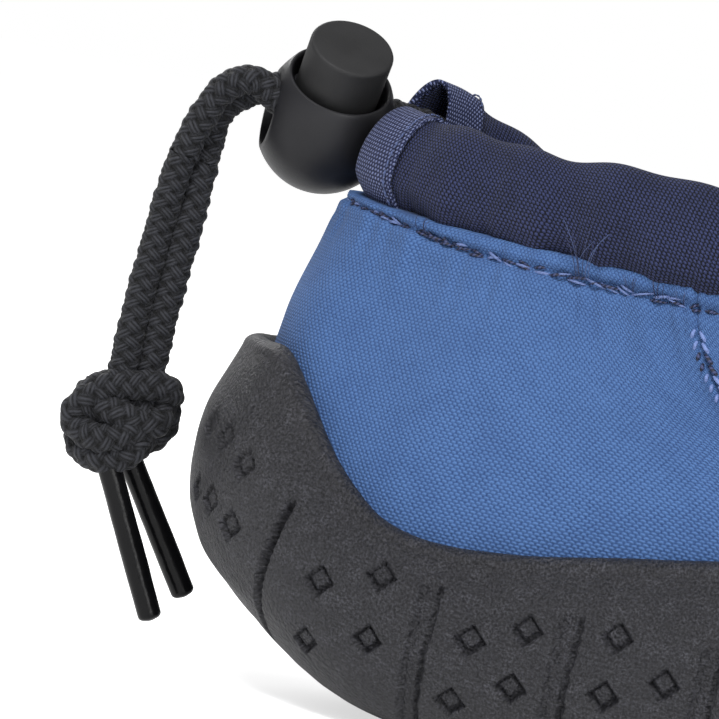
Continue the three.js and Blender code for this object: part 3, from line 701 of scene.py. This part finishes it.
def braid(name, points, radius, body=None, phase=0.0):
    """Round braided cord along a curve. Returns its object and its length."""
    path, along = resample(points, 0.2)
    w = (along + phase)[:, None]
    theta = circle(64)[None]
    # two families of strands, one each way; fa and fb run across a strand, run_a and run_b along it
    a = STRANDS_PER_WAY * theta / CIRCLE + w / STRAND_PITCH + 0.06 * waves(w, theta, 5, 21)
    b = STRANDS_PER_WAY * theta / CIRCLE - w / STRAND_PITCH + 0.06 * waves(w, theta, 5, 22)
    fa, fb = a - np.floor(a) - 0.5, b - np.floor(b) - 0.5
    run_a = np.mod(b + 0.5 - np.floor(a), 2) - 1
    run_b = np.mod(a - 0.5 - np.floor(b), 2) - 1
    lobe_a = np.sqrt(np.clip(1 - (2 * fa) ** 2, 0, 1)) * np.cos(run_a * 1.5)
    lobe_b = np.sqrt(np.clip(1 - (2 * fb) ** 2, 0, 1)) * np.cos(run_b * 1.5)
    across, run = np.where(lobe_a > lobe_b, fa, fb), np.where(lobe_a > lobe_b, run_a, run_b)
    relief = np.clip(np.maximum(lobe_a, lobe_b), 0, 1) * (1 + 0.12 * waves(w, theta * 2, 2.5, 23))
    r = radius * (0.74 + 0.3 * relief) + 0.08 * waves(w, theta * 2, 7, 24)
    strand = np.floor(a) * 3.7 + np.floor(b) * 1.3  # sets each strand's noise apart
    cloth = stack(across * 1.6, run * STRAND_PITCH, strand + 0 * w)
    obj = grid_object(name, rings(path, r, theta), CORD, cloth, relief, wrap_v=True, flip=True)
    if body:
        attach(obj, body)
    return obj, along[-1]


def rods(name, paths, material, sides=6):
    """Many thin threads as one mesh. Each path is (points, radius, tone)."""
    points, faces, cloth, offset = [], [], [], 0
    theta = circle(sides)[None]
    for path, radius, tone in paths:
        path = np.asarray(path, float)
        taper = np.sin(np.linspace(0.35, math.pi - 0.35, len(path))) ** 0.4
        points.append(rings(path, (radius * taper)[:, None], theta).reshape(-1, 3))
        cloth.append(stack(theta, lengths(path, 0)[:, None], tone).reshape(-1, 3))
        faces.append(grid_faces(len(path), sides, wrap_v=True) + offset)
        offset += len(path) * sides
    faces = np.concatenate(faces)[:, ::-1]
    return mesh_object(name, np.concatenate(points), faces, material, np.concatenate(cloth))


# -------------------- the lock's own frame
JOINTS = {joint["name"]: joint for joint in frame["joints"]}
LOCK_Z = -np.array(JOINTS["plunger_press"]["axis"])
LOCK_X = -np.array(JOINTS["cord_pull"]["axis"])
LOCK_Y = np.cross(LOCK_Z, LOCK_X)
LOCK_CENTRE = np.array([-27.3, 2, 78.5])
STRAND_HEIGHT = 3.0  # of the cords above the lock's centre
STRAND_OFFSET = 2.05  # of each cord from the lock's middle plane
OUT = unit(LOCK_X * [1, 1, 0])
BESIDE = np.array([-OUT[1], OUT[0], 0])


def lock_point(x, y, z):
    return LOCK_CENTRE + LOCK_X * x + LOCK_Y * y + LOCK_Z * z


def tail_point(distance, height, aside=0.0):
    """A point behind the heel: distance out from the lock's middle, height above the ground."""
    base = lock_point(0, 0, STRAND_HEIGHT) - OUT * distance + BESIDE * aside
    return np.array([base[0], base[1], height])


# -------------------- the camera's direction
AZIMUTH, ELEVATION, ROLL = (math.radians(v) for v in (15, 3, 12))
TARGET = np.array([-12, -10, 47.6])
TOWARD = np.array([math.sin(AZIMUTH) * math.cos(ELEVATION), -math.cos(AZIMUTH) * math.cos(ELEVATION),
                   math.sin(ELEVATION)])
VIEW_TURN = (-Vector(TOWARD)).to_track_quat("-Z", "Y").to_matrix() @ Matrix.Rotation(ROLL, 3, "Z")
RIGHT, UPWARD = np.array(VIEW_TURN.col[0]), np.array(VIEW_TURN.col[1])


# -------------------- lock
BARREL_RADIUS, BARREL_DEPTH = 9.8, 10.3
SHOULDER_IN, SHOULDER_HEIGHT = 2.15, 7.6  # how far, and over what height, the barrel narrows at its top
BARREL_LIP = [[7.45, 7.85], [7.2, 7.9], [6.95, 7.7], [6.85, 7.3]]
BARREL_BORE = [[6.35, 5.2], [6.3, -6.5], [4.5, -8.6], [0.01, -8.7]]
FLAT_FACE = 8.1  # from the lock's axis to the flat round each window
WINDOW_WIDE, WINDOW_TALL, WINDOW_LOW = 4.35, 5.3, 0.2  # half sizes of the cords' windows, and their drop
BUTTON_PROFILE = [[0.01, -2.6], [5.9, -2.6], [6.05, 14.1], [0.01, 14.15]]
SPRING_TURNS, SPRING_RADIUS, SPRING_WIRE, SPRING_LENGTH, SPRING_FOOT = 4, 3.6, 0.35, 5.2, -8.2


def turned(name, rows, material):
    """A profile of radius and height turned about the lock's axis."""
    rows = np.asarray(rows, float)
    angle = circle(128)[:, None]
    r, z = rows[None, :, 0], rows[None, :, 1]
    grid = LOCK_CENTRE + LOCK_X * (r * np.cos(angle))[..., None] + LOCK_Y * (r * np.sin(angle))[..., None]
    grid = grid + LOCK_Z * (z + 0 * angle)[..., None]
    return grid_object(name, grid, material, stack(angle * 9, z, 0), wrap_u=True)


def rounded(rows, radius):
    """Profile with its corners rounded."""
    rows = [np.array(row, float) for row in rows]
    out = [rows[0]]
    for before, corner, after in zip(rows, rows[1:], rows[2:]):
        one = corner + unit(before - corner) * min(radius, 0.45 * np.linalg.norm(before - corner))
        two = corner + unit(after - corner) * min(radius, 0.45 * np.linalg.norm(after - corner))
        for f in np.linspace(0, 1, 5):
            out.append(one * (1 - f) ** 2 + 2 * corner * f * (1 - f) + two * f * f)
    return out + [rows[-1]]


def apply_modifiers(obj):
    bpy.context.view_layer.update()
    evaluated = obj.evaluated_get(bpy.context.evaluated_depsgraph_get())
    mesh = bpy.data.meshes.new_from_object(evaluated)
    obj.modifiers.clear()
    obj.data = mesh


def clean(obj):
    """Join points that coincide and turn the faces outward."""
    bm = bmesh.new()
    bm.from_mesh(obj.data)
    bmesh.ops.remove_doubles(bm, verts=bm.verts, dist=0.02 * MM)
    bmesh.ops.recalc_face_normals(bm, faces=bm.faces)
    bm.to_mesh(obj.data)
    bm.free()


def cut_away(obj, near, far, section):
    """Cut a bar from near to far along the lock's x, with a section of y and z, out of the piece."""
    count = len(section)
    points = [in_frame(lock_point(x, y, z)) for x in (near, far) for y, z in section]
    sides = [[i, (i + 1) % count, count + (i + 1) % count, count + i] for i in range(count)]
    ends = [list(range(count))[::-1], list(range(count, 2 * count))]
    mesh = bpy.data.meshes.new("cutter")
    mesh.from_pydata(points, [], sides + ends)
    tool = link("cutter", mesh)
    clean(tool)
    clean(obj)
    modifier = obj.modifiers.new("cut", "BOOLEAN")
    modifier.operation = "DIFFERENCE"
    modifier.object = tool
    modifier.solver = "EXACT"
    apply_modifiers(obj)
    bpy.data.objects.remove(tool)


def barrel():
    """A ball with its top cut off, a bore for the button and two flats with windows for the cords."""
    bowl = np.linspace(-math.pi / 2, 0, 32)
    rows = [[BARREL_RADIUS * math.cos(a), BARREL_DEPTH * math.sin(a)] for a in bowl]
    rows[0][0] = 0.01
    rows += [[BARREL_RADIUS - SHOULDER_IN * f ** 1.8, SHOULDER_HEIGHT * f] for f in np.linspace(0.05, 1, 14)]
    obj = turned("lock_barrel", rows + BARREL_LIP + BARREL_BORE, BARREL)
    block = [(-12, -13), (12, -13), (12, 13), (-12, 13)]
    window = [(math.cos(a) * WINDOW_WIDE, math.sin(a) * WINDOW_TALL - WINDOW_LOW) for a in circle(48)]
    for sign in (-1, 1):
        cut_away(obj, sign * FLAT_FACE, sign * 14, block)
        cut_away(obj, sign * 3.0, sign * 13.0, window)
    bevel = obj.modifiers.new("round", "BEVEL")
    bevel.width = 0.35 * MM
    bevel.segments = 3
    bevel.limit_method = "ANGLE"
    bevel.angle_limit = math.radians(38)
    apply_modifiers(obj)
    obj.data.polygons.foreach_set("use_smooth", np.ones(len(obj.data.polygons), bool))
    obj.data.materials.clear()
    obj.data.materials.append(BARREL)
    finish_piece(obj, "cord_lock", "lock_barrel", "cord_lock_barrel")


def button():
    obj = turned("lock_button", rounded(BUTTON_PROFILE, 0.6), BUTTON)
    finish_piece(obj, "plunger", "lock_button", "cord_lock_plunger")


def spring():
    """The coil under the button."""
    coil = []
    for f in np.linspace(0, 1, 24 * SPRING_TURNS):
        angle = CIRCLE * SPRING_TURNS * f
        coil.append(lock_point(SPRING_RADIUS * math.cos(angle), SPRING_RADIUS * math.sin(angle),
                               SPRING_LENGTH * f + SPRING_FOOT))
    obj = rods("lock_spring", [(coil, SPRING_WIRE, 0.0)], STEEL, sides=10)
    finish_piece(obj, "cord_lock", "spring_steel", "cord_lock_spring")
    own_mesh(obj)


# -------------------- drawcord: collar ends, strands, knot and tips
COLLAR_CORD_RADIUS, TAIL_CORD_RADIUS, KNOT_CORD_RADIUS, KNOT_CORE_RADIUS = 1.95, 2.12, 2.16, 3.0
TAIL_OFFSET = 1.96  # of each hanging strand from the middle between them
# Middle line of the strands: distance out, height, turn of the pair in degrees, and how much the medial
# strand lies below the middle line, per unit of offset.
TAIL = [[11.9, 81.3, 0, 0.55], [15.3, 78.6, 15, 0.7], [17, 73.4, 40, 0.5], [17.8, 67, 70, 0.1],
        [18.3, 59, 90, 0], [18.9, 51.5, 90, 0], [19.2, 45, 90, 0], [19.2, 39.8, 90, 0], [19.6, 36, 90, 0]]


def tail():
    for side, name in ((-1, "lateral"), (1, "medial")):
        offset = TAIL_OFFSET * side
        inside = [lock_point(x, STRAND_OFFSET * side, STRAND_HEIGHT) for x in (1.6, -3, -7)]
        rows = []
        for distance, height, turn, climb in TAIL:
            turn = math.radians(turn)
            rows.append(tail_point(distance - offset * math.sin(turn), height - offset * climb,
                                   offset * math.cos(turn)))
        middle = curve(np.array(rows), np.array([2.6]))[0]
        first, length = braid("cord_upper_" + name, inside + rows[:3] + [middle], TAIL_CORD_RADIUS)
        second, _ = braid("cord_lower_" + name, [middle] + rows[3:], TAIL_CORD_RADIUS, phase=length)
        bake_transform(first)
        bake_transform(second)
        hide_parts("cord_run_" + name, "cord_arc_" + name)
        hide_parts("cord_hang_" + name)


# Arcs of the knot: right, up and toward the camera from the knot's middle.
KNOT_ARCS = [
    [[-3.5, 3.5, -3.5], [-4.6, 4.0, 0.2], [-2.6, 5.0, 2.0], [1.0, 5.2, 2.8],
     [4.6, 5.0, 2.2], [7.0, 4.0, 0.2], [6.2, 2.0, -2.8]],
    [[4.6, 3.2, -3.5], [5.8, 1.2, -0.5], [5.0, -0.6, 2.0], [2.4, -0.4, 3.0],
     [0.0, 0.8, 3.2], [-2.8, 2.0, 2.0], [-4.8, 2.8, -1.0]],
    [[-2.0, 4.2, 1.6], [-5.0, 3.2, 2.4], [-6.9, 0.6, 1.8], [-5.6, -1.8, 2.2],
     [-2.4, -2.7, 3.2], [1.2, -1.8, 3.2], [4.0, -1.2, 1.2], [4.6, 0.4, -2.0]],
    [[-6.2, -1.5, -3.0], [-6.2, -3.6, -0.6], [-4.0, -5.5, 1.2], [-0.6, -5.6, 2.0],
     [2.0, -4.2, 2.0], [3.2, -2.6, 0.6]],
    [[5.8, 3.4, -1.0], [6.4, 0.0, -1.6], [4.6, -2.6, -1.4], [1.4, -3.2, -3.0],
     [-2.4, -3.4, -3.4], [-5.4, -1.6, -2.6], [-6.0, 1.4, -2.0], [-3.0, 4.2, -2.4]],
    [[-4.4, 4.2, -0.8], [-1.0, 5.4, -1.8], [3.0, 5.2, -2.2], [6.0, 3.8, -1.6]],
    [[-4.0, 2.6, -3.0], [-0.4, 1.4, -4.4], [3.2, -0.4, -3.8], [4.8, -1.8, -1.2]],
]
KNOT_CORE = [[-5.0, 2.4], [-1.8, 1.6], [1.6, 0.6], [4.6, 0.6]]
KNOT_SCALE, KNOT_FLATTEN = 0.95, 0.85


def knot():
    low, high = (np.array(corner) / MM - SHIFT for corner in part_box("cord_knot"))
    centre = (low + high) / 2
    for i, arc in enumerate(KNOT_ARCS):
        points = [centre + KNOT_SCALE * (RIGHT * x + UPWARD * y + TOWARD * z * KNOT_FLATTEN)
                  for x, y, z in arc]
        obj, _ = braid(f"knot_turn_{i + 1}", points, KNOT_CORD_RADIUS, "tail_hang", phase=3.1 * i)
        if i == 0:  # one turn stands for the whole knot
            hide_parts("cord_knot")
    core = [centre + RIGHT * x + UPWARD * y for x, y in KNOT_CORE]
    braid("knot_core", core, KNOT_CORE_RADIUS, "tail_hang")


# Upper and lower end of each tip: distance out from the lock, height, distance aside.
TIPS = {"long": ((20, 24.2, -1.5), (10.3, 5, -2.5)), "short": ((16.4, 25, 2), (5.7, 8.8, 2))}
TIP_RADIUS = 1.72
TIP_HIDDEN = 4  # length of a tip inside the knot


def tips():
    """Plastic sleeves, slightly uneven, with a rounded lower end."""
    for name, (top, end) in TIPS.items():
        top, end = tail_point(*top), tail_point(*end)
        top = top - unit(end - top) * TIP_HIDDEN
        length = np.linalg.norm(end - top)
        path, along = resample([top, (top + end) / 2 + BESIDE * 0.15, end], 0.25)
        theta = circle(48)[None]
        w = along[:, None]
        r = TIP_RADIUS + 0.04 * waves(w, theta * 1.5, 14, 31) + 0.012 * waves(w, theta * 4, 3, 32)
        r = r * np.sqrt(np.clip(1 - np.clip((w - length + 1.0) / 1.02, 0, 1) ** 2.6, 0.0001, 1))
        cloth = stack(theta * 1.6, w, 0)
        obj = grid_object("tip_" + name, rings(path, r, theta), TIP, cloth, wrap_v=True, flip=True)
        finish_piece(obj, "tip_" + name, "cord_tip", "cord_tip_" + name)


def collar_cords():
    """The two ends of the drawcord between the channel and the lock."""
    for side, name in ((-1, "lateral"), (1, "medial")):
        lateral = side < 0
        places = [TUBE_START[lateral] + deep for deep in (0.9, 0.55, 0.2)]
        q = np.array([s if lateral else 16 - s for s in places])
        inside = tube_ring(q, np.full(3, math.pi / 2), np.full(3, 3.0), np.full(3, 1.0))
        at_lock = [lock_point(x, STRAND_OFFSET * side, STRAND_HEIGHT) for x in (11.0, 7.5, 2.4)]
        obj, _ = braid("collar_cord_" + name, list(inside) + at_lock, COLLAR_CORD_RADIUS)
        in_frame(inside[2])
        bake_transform(obj)
        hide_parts("cord_feed_" + name)
        if lateral:
            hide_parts("drawcord_loop")


# -------------------- stitches
# Places along the seam with loose fibres: station, how many, length.
LOOSE_FIBRES = ((1.6, 4, 2.4), (2.68, 7, 7.5), (2.98, 3, 1.9), (3.16, 3, 2.1), (3.28, 3, 1.8))
STITCH_GAP = 0.25
SIDE_ROW = 0.028  # stations from the side seam to each of its rows of stitches
SIDE_FIRST, SIDE_LAST, SIDE_STEP = 0.03, 0.9, 0.036  # heights of the side stitches, as shares of the upper


def lifted(q, v, lift):
    """Points the given distance off the upper."""
    step = 0.01
    q, v = np.asarray(q, float), np.asarray(v, float)
    along = upper(q + step, v) - upper(q - step, v)
    climb = upper(q, v + step) - upper(q, v - step)
    return upper(q, v) + unit(np.cross(along, climb)) * np.asarray(lift)[..., None]


def collar_stitches():
    """Uneven stitches of two or three threads under the channel, and loose fibres between them."""
    q_table = np.linspace(TUBE_START[True] - 0.2, 16 - TUBE_START[False] + 0.2, 3000)
    along = lengths(upper(q_table, np.full(3000, STITCH_LEVEL)), 0)
    rise = np.sin(np.linspace(0, math.pi, 7))
    paths = []
    spot = 0.0
    while spot < along[-1] - 3:
        length = rng.uniform(1.9, 2.6)
        for strand in range(3 if rng.uniform() < 0.35 else 2):
            begin, end = spot + rng.uniform(-0.6, 0.3), spot + length + rng.uniform(-0.4, 0.6)
            place = np.interp(np.linspace(begin, end, 7), along, q_table)
            tilt = rng.uniform(-0.012, 0.012) * np.linspace(-1, 1, 7)
            level = STITCH_LEVEL + 0.008 * strand - 0.006 + rng.uniform(-0.005, 0.005) + tilt
            points = lifted(place, level, -0.85 + 0.75 * rise + rng.uniform(-0.1, 0.15))
            paths.append((points, rng.uniform(0.14, 0.24), rng.choice([0.0, 0.0, 0.68])))
        spot += length + STITCH_GAP

    climb = np.linspace(0, 1, 10)[:, None]
    for place, count, tall in LOOSE_FIBRES:
        for _ in range(count):
            root = place + rng.uniform(-0.05, 0.05)
            up = collar_up(np.array([root]))[0]
            beside = unit(upper(root + 0.02, STITCH_LEVEL) - upper(root - 0.02, STITCH_LEVEL))
            length = tall * rng.uniform(0.6, 1.1)
            drift = rng.uniform(-0.35, 0.5) * length
            path = upper(root, STITCH_LEVEL) + up * length * climb + beside * drift * climb ** 2
            bow = 0.2 + 2.7 * np.sin(climb * math.pi / 2) * min(1, length / 3)
            path = path - inward3(root) * bow
            paths.append((path, rng.uniform(0.045, 0.08), rng.choice([0.3, 0.62])))
    finish_piece(rods("collar_stitches", paths, THREAD), "boot", "thread", "collar_seam_thread")


def side_stitches(name, q_seam):
    """Two rows of short slanting stitches, one each side of a side seam."""
    paths = []
    places = np.linspace(-1, 1, 6)
    lift = 0.12 + 0.28 * np.sin(np.linspace(0, math.pi, 6))
    for side in (-1, 1):
        v = SIDE_FIRST
        while v < SIDE_LAST:
            q = q_seam + SIDE_ROW * side - 0.012 * side * places
            paths.append((lifted(q, v + 0.014 * places, lift), 0.3, 1.0 if int(v * 100) % 2 else 0.3))
            v += SIDE_STEP
    obj = rods("side_seam_stitches_" + name, paths, THREAD)
    finish_piece(obj, "boot", "thread", "side_seam_thread_" + name)


def ribbon_end(name, start, inward_sign):
    """A ribbon binding round one end of the channel, with a row of stitches near its inner edge."""
    end = start + RIBBON_SPAN * inward_sign
    sleeve("ribbon_binding_" + name, min(start, end), max(start, end), RIBBON_PROUD, 0.7, 0.25, 24, 4.0,
           RIBBON, "ribbon", "ribbon_end_" + name)
    place = np.full(160, end - 0.05 * inward_sign)
    ring = tube_ring(place, np.linspace(-1.3, 2.2, 160), TUBE_HEIGHT + 1.5, TUBE_THICKNESS + 1.25)
    runs = [(ring[i:i + 8], 0.16, 0.62) for i in range(0, 150, 9)]
    finish_piece(rods("ribbon_stitches_" + name, runs, THREAD), "boot", "thread")


# -------------------- footbed
FOOTBED_TOP = 17.6


def footbed_cover():
    """The cloth over the footbed, turned up a little at its edge."""
    q = np.linspace(0, 16, 240, endpoint=False)[:, None]
    share = np.linspace(0, 1, 30)[None]
    middle = np.concatenate([spine(fold(q)[0][:, 0]), np.zeros((240, 1))], -1)[:, None]
    edge = sole(q, 0.55, UPPER_INSET + NEOPRENE + 0.3)
    grid = middle * (1 - share[..., None]) + edge * share[..., None]
    x, y = grid[..., 0], grid[..., 1]
    grid[..., 2] = FOOTBED_TOP + 1.2 * share ** 4 + 0.15 * waves(x, y, 15, 41)
    obj = grid_object("footbed_cover", grid, LINING, stack(x, y, 0), wrap_u=True)
    finish_piece(obj, "boot", "lining", "footbed_cloth")


# -------------------- build
outsole()
panel("quarter", -SEAM - PANEL_OVERLAP, SEAM + PANEL_OVERLAP, "quarter_panel", 51, 360)
panel("vamp", SEAM, 16 - SEAM, "vamp_panel", 61, 460)
sleeve("collar_tube", TUBE_START[True] + 0.03, 16 - TUBE_START[False] - 0.03, 0.0, 0.8, 1.0, 420, 7.0,
       NAVY, "knit", "collar_channel")
ribbon_end("lateral", TUBE_START[True], 1)
ribbon_end("medial", 16 - TUBE_START[False], -1)
barrel()
button()
spring()
tail()
knot()
tips()
collar_cords()
collar_stitches()
side_stitches("lateral", SEAM)
side_stitches("medial", 16 - SEAM)
footbed_cover()

# -------------------- floor, light and camera, in metres
WHITE = (1, 1, 1, 1)
FLOOR_HALF, FLOOR_HEIGHT = 5, -0.0005
FLOOR_GLOW, FLOOR_GLOW_TO_CAMERA = 0.22, 0.4  # everywhere, and added where the camera sees it
WORLD_LIGHT, WORLD_TO_CAMERA = 0.42, 1.0
LIGHTS = {"key": ((-0.1, -0.68, 0.95), 0.4, 11.5), "fill": ((0.6, -0.75, 0.3), 0.5, 4.5),
          "rim": ((-0.5, 0.5, 0.5), 0.4, 2.5)}  # place, size, watts
LIGHTS_AIM = Vector((0.03, 0, 0.04))
CAMERA_DISTANCE, VIEW_WIDTH, SENSOR = 900, 99.9, 36  # mm


def paper_floor():
    m = Shader("floor_paper", 0.9, 0.1)
    fibres = m.noise(m.node("TexCoord").outputs["Object"], 3.0)
    m.color(m.mix(fibres, (0.9, 0.9, 0.9, 1), (0.93, 0.93, 0.93, 1)))
    m.set("Emission Color", WHITE)
    seen = m.node("LightPath").outputs["Is Camera Ray"]
    m.set("Emission Strength", m.math("MULTIPLY_ADD", seen, FLOOR_GLOW_TO_CAMERA, FLOOR_GLOW))
    mesh = bpy.data.meshes.new("floor")
    square = ((-1, -1), (1, -1), (1, 1), (-1, 1))
    corners = [(x * FLOOR_HALF, y * FLOOR_HALF, FLOOR_HEIGHT) for x, y in square]
    mesh.from_pydata(corners, [], [(0, 1, 2, 3)])
    mesh.materials.append(m.material)
    link("floor", mesh)


def studio_world():
    world = bpy.data.worlds.new("studio")
    world.use_nodes = True
    tree = world.node_tree
    background = tree.nodes["Background"]
    background.inputs[0].default_value = WHITE
    seen = tree.nodes.new("ShaderNodeLightPath")
    strength = tree.nodes.new("ShaderNodeMapRange")
    strength.inputs["To Min"].default_value = WORLD_LIGHT
    strength.inputs["To Max"].default_value = WORLD_TO_CAMERA
    tree.links.new(seen.outputs["Is Camera Ray"], strength.inputs["Value"])
    tree.links.new(strength.outputs[0], background.inputs[1])
    bpy.context.scene.world = world


def lights():
    for name, (place, size, energy) in LIGHTS.items():
        data = bpy.data.lights.new(name, "AREA")
        data.energy = energy
        data.size = size
        light = link(name, data)
        light.location = place
        light.rotation_euler = (LIGHTS_AIM - Vector(place)).to_track_quat("-Z", "Y").to_euler()


def camera():
    data = bpy.data.cameras.new("camera")
    data.sensor_width = SENSOR
    data.lens = SENSOR * CAMERA_DISTANCE / VIEW_WIDTH
    data.clip_start = 0.01
    obj = link("camera", data)
    obj.location = in_frame(TARGET + TOWARD * CAMERA_DISTANCE)
    obj.rotation_euler = VIEW_TURN.to_euler()
    bpy.context.scene.camera = obj
    bpy.context.scene.view_settings.view_transform = "Standard"


paper_floor()
studio_world()
lights()
camera()
